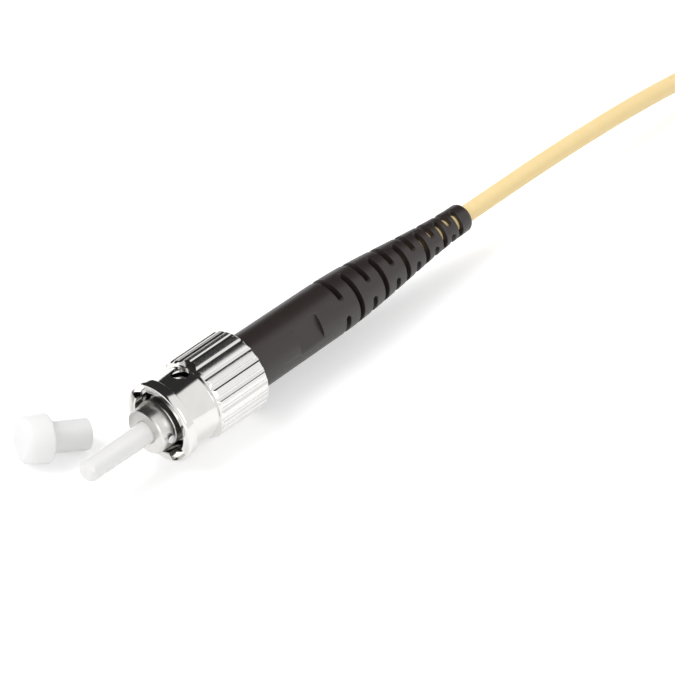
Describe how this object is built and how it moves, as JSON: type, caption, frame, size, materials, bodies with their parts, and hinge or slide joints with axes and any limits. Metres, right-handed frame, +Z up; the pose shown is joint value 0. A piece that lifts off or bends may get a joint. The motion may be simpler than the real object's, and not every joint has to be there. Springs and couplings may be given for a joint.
{
  "type": "st fibre connector",
  "caption": "Bayonet optical fibre plug with a sprung twist-lock nut, ceramic ferrule, bend-relief boot, simplex lead and loose dust cap; it joins a fibre to a socket or adapter.",
  "frame": {"origin": "centre of the ferrule's polished end face; the connector lies on its coupling nut, so the table is 4.7 mm below", "axes": "+X back along the connector's axis towards the lead, +Z up from the table, +Y to the side where the dust cap lies"},
  "size_m": [0.1861, 0.0188, 0.0107],
  "materials": {
    "zirconia": "polished white ceramic",
    "fibre_glass": "clear glass with a clear coating",
    "barrel_nickel": "satin nickel plate",
    "pin_steel": "ground steel",
    "backbone_brass": "nickel-plated brass, satin",
    "spring_steel": "drawn steel wire",
    "washer_steel": "plain steel",
    "nut_nickel": "bright nickel plate",
    "clip_steel": "spring steel, dark",
    "clear_tube": "clear fluoropolymer tube",
    "crimp_brass": "crimped brass",
    "aramid": "straight yellow yarns",
    "buffer_nylon": "white nylon buffer",
    "jacket_pvc": "pale orange-yellow jacket, satin, finely mottled",
    "boot_rubber": "black elastomer, satin",
    "cap_plastic": "translucent white polyethylene",
    "tie_plastic": "black hook-and-loop strap"
  },
  "bodies": {
    "connector": {"ferrule": "zirconia", "optical_fibre": "fibre_glass", "ferrule_barrel": "barrel_nickel", "key_pin": "pin_steel", "backbone": "backbone_brass", "spring": "spring_steel", "retaining_clip": "clip_steel", "buffer_tube": "clear_tube", "crimp_sleeve": "crimp_brass", "aramid_yarns": "aramid", "tight_buffer": "buffer_nylon", "cable_jacket": "jacket_pvc", "boot": "boot_rubber", "dust_cap": "cap_plastic", "cable_run": "jacket_pvc", "cable_hank": "jacket_pvc", "hank_tie": "tie_plastic", "cable_tail": "jacket_pvc", "aramid_tuft": "aramid", "buffer_tail": "buffer_nylon", "fibre_tail": "fibre_glass"},
    "slider": {"thrust_washer": "washer_steel"},
    "nut": {"coupling_nut": "nut_nickel"}
  },
  "joints": [
    {"name": "nut_slide", "type": "slide", "parent": "connector", "child": "slider", "axis": [-1, 0, 0], "range_m": [0, 0.0022], "stiffness_N_per_m": 1500, "springref_m": -0.002, "deforming": ["spring"]},
    {"name": "nut_spin", "type": "hinge", "parent": "slider", "child": "nut", "pos_m": [0.0165, 0, 0], "axis": [1, 0, 0], "continuous": true}
  ]
}
